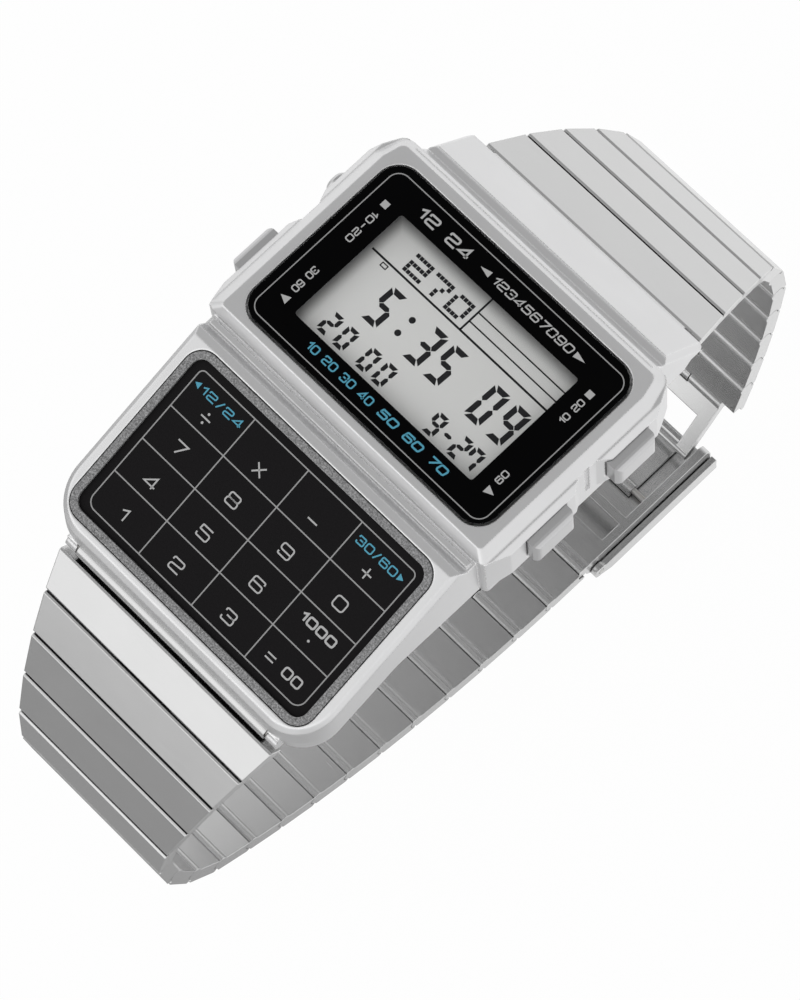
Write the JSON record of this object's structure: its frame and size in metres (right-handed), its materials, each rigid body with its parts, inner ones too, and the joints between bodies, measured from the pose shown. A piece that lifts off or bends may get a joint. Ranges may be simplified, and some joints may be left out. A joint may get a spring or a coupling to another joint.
{
  "type": "calculator wristwatch",
  "caption": "Digital calculator wristwatch: bent silver case with display and film keypad, push buttons, and a tapered folded-link steel bracelet with a fold-over clasp.",
  "frame": {"origin": "centre of the case back's outer face, under the middle of the display", "axes": "+X towards 3 o'clock, +Y towards 12 o'clock, +Z out of the dial"},
  "size_m": [0.0366, 0.0772, 0.0603],
  "materials": {
    "case_silver": "satin silver paint",
    "window_glass": "polished, printed black from behind",
    "ring_grey": "speckled matt",
    "film_black": "fine matt",
    "rubber_black": "matt",
    "lcd": "satin",
    "module_plastic": "matt",
    "board_green": "satin",
    "chip_black": "matt",
    "inner_metal": "plain",
    "buzzer_brass": "plain",
    "back_steel": "brushed",
    "button_silver": "satin",
    "bracelet_steel": "satin, brushed across",
    "clasp_steel": "satin"
  },
  "bodies": {
    "case": {"case_body": "case_silver", "display_glass": "window_glass", "keypad_ring": "ring_grey", "keypad_film": "film_black", "key_mat": "rubber_black", "lcd_panel": "lcd", "lcd_connectors": "rubber_black", "module_frame": "module_plastic", "circuit_board": "board_green", "controller_chip": "chip_black", "quartz_crystal": "inner_metal", "battery": "inner_metal", "battery_strap": "inner_metal", "buzzer_disc": "buzzer_brass", "case_back": "back_steel", "back_gasket": "rubber_black", "case_back_screws": "back_steel", "button_springs": "inner_metal", "button_seals": "rubber_black", "spring_bars": "bracelet_steel"},
    "upper_link_01": {"upper_link_01": "bracelet_steel"},
    "upper_link_02": {"upper_link_02": "bracelet_steel"},
    "upper_link_03": {"upper_link_03": "bracelet_steel"},
    "upper_link_04": {"upper_link_04": "bracelet_steel"},
    "upper_link_05": {"upper_link_05": "bracelet_steel"},
    "upper_link_06": {"upper_link_06": "bracelet_steel"},
    "upper_link_07": {"upper_link_07": "bracelet_steel"},
    "upper_link_08": {"upper_link_08": "bracelet_steel"},
    "upper_link_09": {"upper_link_09": "bracelet_steel"},
    "upper_link_10": {"upper_link_10": "bracelet_steel"},
    "upper_link_11": {"upper_link_11": "bracelet_steel"},
    "lower_link_01": {"lower_link_01": "bracelet_steel"},
    "lower_link_02": {"lower_link_02": "bracelet_steel"},
    "lower_link_03": {"lower_link_03": "bracelet_steel"},
    "lower_link_04": {"lower_link_04": "bracelet_steel"},
    "lower_link_05": {"lower_link_05": "bracelet_steel"},
    "lower_link_06": {"lower_link_06": "bracelet_steel"},
    "lower_link_07": {"lower_link_07": "bracelet_steel"},
    "lower_link_08": {"lower_link_08": "bracelet_steel"},
    "lower_link_09": {"lower_link_09": "bracelet_steel"},
    "lower_link_10": {"lower_link_10": "bracelet_steel"},
    "lower_link_11": {"lower_link_11": "bracelet_steel"},
    "lower_link_12": {"lower_link_12": "bracelet_steel"},
    "lower_link_13": {"lower_link_13": "bracelet_steel"},
    "lower_link_14": {"lower_link_14": "bracelet_steel"},
    "lower_link_15": {"lower_link_15": "bracelet_steel"},
    "lower_link_16": {"lower_link_16": "bracelet_steel"},
    "lower_link_17": {"lower_link_17": "bracelet_steel"},
    "lower_link_18": {"lower_link_18": "bracelet_steel"},
    "lower_link_19": {"lower_link_19": "bracelet_steel"},
    "clasp_flap": {"clasp_flap": "clasp_steel"},
    "catch_lever": {"catch_lever": "clasp_steel"},
    "catch_link": {"catch_link": "clasp_steel"},
    "button_right_upper": {"button_right_upper": "button_silver"},
    "button_right_lower": {"button_right_lower": "button_silver"},
    "button_left_upper": {"button_left_upper": "button_silver"},
    "button_left_lower": {"button_left_lower": "button_silver"},
    "clasp_frame": {"clasp_frame": "clasp_steel", "clasp_pins": "clasp_steel"}
  },
  "joints": [
    {"name": "button_left_lower_press", "type": "slide", "parent": "case", "child": "button_left_lower", "axis": [1, 0, 0], "range_m": [0, 0.0006], "stiffness_N_per_m": 1200, "springref_m": -0.0004, "deforming": ["button_springs"]},
    {"name": "button_left_upper_press", "type": "slide", "parent": "case", "child": "button_left_upper", "axis": [1, 0, 0], "range_m": [0, 0.0006], "stiffness_N_per_m": 1200, "springref_m": -0.0004, "deforming": ["button_springs"]},
    {"name": "button_right_lower_press", "type": "slide", "parent": "case", "child": "button_right_lower", "axis": [-1, 0, 0], "range_m": [0, 0.0006], "stiffness_N_per_m": 1200, "springref_m": -0.0004, "deforming": ["button_springs"]},
    {"name": "button_right_upper_press", "type": "slide", "parent": "case", "child": "button_right_upper", "axis": [-1, 0, 0], "range_m": [0, 0.0006], "stiffness_N_per_m": 1200, "springref_m": -0.0004, "deforming": ["button_springs"]},
    {"name": "catch_lever_lift", "type": "hinge", "parent": "clasp_frame", "child": "catch_lever", "pos_m": [0, 0.01663, -0.05076], "axis": [1, 0, 0], "range_deg": [0, 12]},
    {"name": "catch_link_swing", "type": "hinge", "parent": "upper_link_11", "child": "catch_link", "pos_m": [0, 0.02698, -0.04403], "axis": [-1, 0, 0], "range_deg": [0, 25]},
    {"name": "clasp_flap_fold", "type": "hinge", "parent": "clasp_frame", "child": "clasp_flap", "pos_m": [0, 0.00873, -0.05031], "axis": [-1, 0, 0], "range_deg": [0, 110]},
    {"name": "clasp_frame_hinge", "type": "hinge", "parent": "lower_link_19", "child": "clasp_frame", "pos_m": [0, 0.00713, -0.04871], "axis": [-1, 0, 0], "range_deg": [0, 1.6]},
    {"name": "lower_hinge_01", "type": "hinge", "parent": "case", "child": "lower_link_01", "pos_m": [0, -0.0314, -0.0028], "axis": [-1, 0, 0], "range_deg": [0, 10]},
    {"name": "lower_hinge_02", "type": "hinge", "parent": "lower_link_01", "child": "lower_link_02", "pos_m": [0, -0.03497, -0.00676], "axis": [-1, 0, 0], "range_deg": [0, 6.3]},
    {"name": "lower_hinge_03", "type": "hinge", "parent": "lower_link_02", "child": "lower_link_03", "pos_m": [0, -0.03778, -0.01014], "axis": [-1, 0, 0], "range_deg": [0, 6.3]},
    {"name": "lower_hinge_04", "type": "hinge", "parent": "lower_link_03", "child": "lower_link_04", "pos_m": [0, -0.0402, -0.01382], "axis": [-1, 0, 0], "range_deg": [0, 6.3]},
    {"name": "lower_hinge_05", "type": "hinge", "parent": "lower_link_04", "child": "lower_link_05", "pos_m": [0, -0.0422, -0.01773], "axis": [-1, 0, 0], "range_deg": [0, 16.5]},
    {"name": "lower_hinge_06", "type": "hinge", "parent": "lower_link_05", "child": "lower_link_06", "pos_m": [0, -0.04301, -0.02206], "axis": [-1, 0, 0], "range_deg": [0, 16.5]},
    {"name": "lower_hinge_07", "type": "hinge", "parent": "lower_link_06", "child": "lower_link_07", "pos_m": [0, -0.04256, -0.02643], "axis": [-1, 0, 0], "range_deg": [0, 16.5]},
    {"name": "lower_hinge_08", "type": "hinge", "parent": "lower_link_07", "child": "lower_link_08", "pos_m": [0, -0.04088, -0.0305], "axis": [-1, 0, 0], "range_deg": [0, 16.5]},
    {"name": "lower_hinge_09", "type": "hinge", "parent": "lower_link_08", "child": "lower_link_09", "pos_m": [0, -0.03812, -0.03393], "axis": [-1, 0, 0], "range_deg": [0, 16.5]},
    {"name": "lower_hinge_10", "type": "hinge", "parent": "lower_link_09", "child": "lower_link_10", "pos_m": [0, -0.0345, -0.03642], "axis": [-1, 0, 0], "range_deg": [0, 3.3]},
    {"name": "lower_hinge_11", "type": "hinge", "parent": "lower_link_10", "child": "lower_link_11", "pos_m": [0, -0.03074, -0.03871], "axis": [-1, 0, 0], "range_deg": [0, 3.3]},
    {"name": "lower_hinge_12", "type": "hinge", "parent": "lower_link_11", "child": "lower_link_12", "pos_m": [0, -0.02685, -0.04078], "axis": [-1, 0, 0], "range_deg": [0, 3.3]},
    {"name": "lower_hinge_13", "type": "hinge", "parent": "lower_link_12", "child": "lower_link_13", "pos_m": [0, -0.02286, -0.04261], "axis": [-1, 0, 0], "range_deg": [0, 3.3]},
    {"name": "lower_hinge_14", "type": "hinge", "parent": "lower_link_13", "child": "lower_link_14", "pos_m": [0, -0.01876, -0.04422], "axis": [-1, 0, 0], "range_deg": [0, 3.3]},
    {"name": "lower_hinge_15", "type": "hinge", "parent": "lower_link_14", "child": "lower_link_15", "pos_m": [0, -0.01458, -0.04559], "axis": [-1, 0, 0], "range_deg": [0, 3.3]},
    {"name": "lower_hinge_16", "type": "hinge", "parent": "lower_link_15", "child": "lower_link_16", "pos_m": [0, -0.01032, -0.04671], "axis": [-1, 0, 0], "range_deg": [0, 3.3]},
    {"name": "lower_hinge_17", "type": "hinge", "parent": "lower_link_16", "child": "lower_link_17", "pos_m": [0, -0.00601, -0.04759], "axis": [-1, 0, 0], "range_deg": [0, 3.3]},
    {"name": "lower_hinge_18", "type": "hinge", "parent": "lower_link_17", "child": "lower_link_18", "pos_m": [0, -0.00166, -0.04822], "axis": [-1, 0, 0], "range_deg": [0, 3.3]},
    {"name": "lower_hinge_19", "type": "hinge", "parent": "lower_link_18", "child": "lower_link_19", "pos_m": [0, 0.00273, -0.04859], "axis": [-1, 0, 0], "range_deg": [0, 3.3]},
    {"name": "upper_hinge_01", "type": "hinge", "parent": "case", "child": "upper_link_01", "pos_m": [0, 0.01675, -0.0002], "axis": [1, 0, 0], "range_deg": [0, 10]},
    {"name": "upper_hinge_02", "type": "hinge", "parent": "upper_link_01", "child": "upper_link_02", "pos_m": [0, 0.02111, -0.00441], "axis": [1, 0, 0], "range_deg": [0, 6.6]},
    {"name": "upper_hinge_03", "type": "hinge", "parent": "upper_link_02", "child": "upper_link_03", "pos_m": [0, 0.02441, -0.00732], "axis": [1, 0, 0], "range_deg": [0, 6.6]},
    {"name": "upper_hinge_04", "type": "hinge", "parent": "upper_link_03", "child": "upper_link_04", "pos_m": [0, 0.02736, -0.01059], "axis": [1, 0, 0], "range_deg": [0, 6.6]},
    {"name": "upper_hinge_05", "type": "hinge", "parent": "upper_link_04", "child": "upper_link_05", "pos_m": [0, 0.02991, -0.01418], "axis": [1, 0, 0], "range_deg": [0, 14.4]},
    {"name": "upper_hinge_06", "type": "hinge", "parent": "upper_link_05", "child": "upper_link_06", "pos_m": [0, 0.03148, -0.01829], "axis": [1, 0, 0], "range_deg": [0, 14.4]},
    {"name": "upper_hinge_07", "type": "hinge", "parent": "upper_link_06", "child": "upper_link_07", "pos_m": [0, 0.03199, -0.02266], "axis": [1, 0, 0], "range_deg": [0, 14.4]},
    {"name": "upper_hinge_08", "type": "hinge", "parent": "upper_link_07", "child": "upper_link_08", "pos_m": [0, 0.03139, -0.02702], "axis": [1, 0, 0], "range_deg": [0, 2.7]},
    {"name": "upper_hinge_09", "type": "hinge", "parent": "upper_link_08", "child": "upper_link_09", "pos_m": [0, 0.03059, -0.03134], "axis": [1, 0, 0], "range_deg": [0, 2.7]},
    {"name": "upper_hinge_10", "type": "hinge", "parent": "upper_link_09", "child": "upper_link_10", "pos_m": [0, 0.02959, -0.03563], "axis": [1, 0, 0], "range_deg": [0, 2.7]},
    {"name": "upper_hinge_11", "type": "hinge", "parent": "upper_link_10", "child": "upper_link_11", "pos_m": [0, 0.02838, -0.03986], "axis": [1, 0, 0], "range_deg": [0, 2.7]}
  ]
}
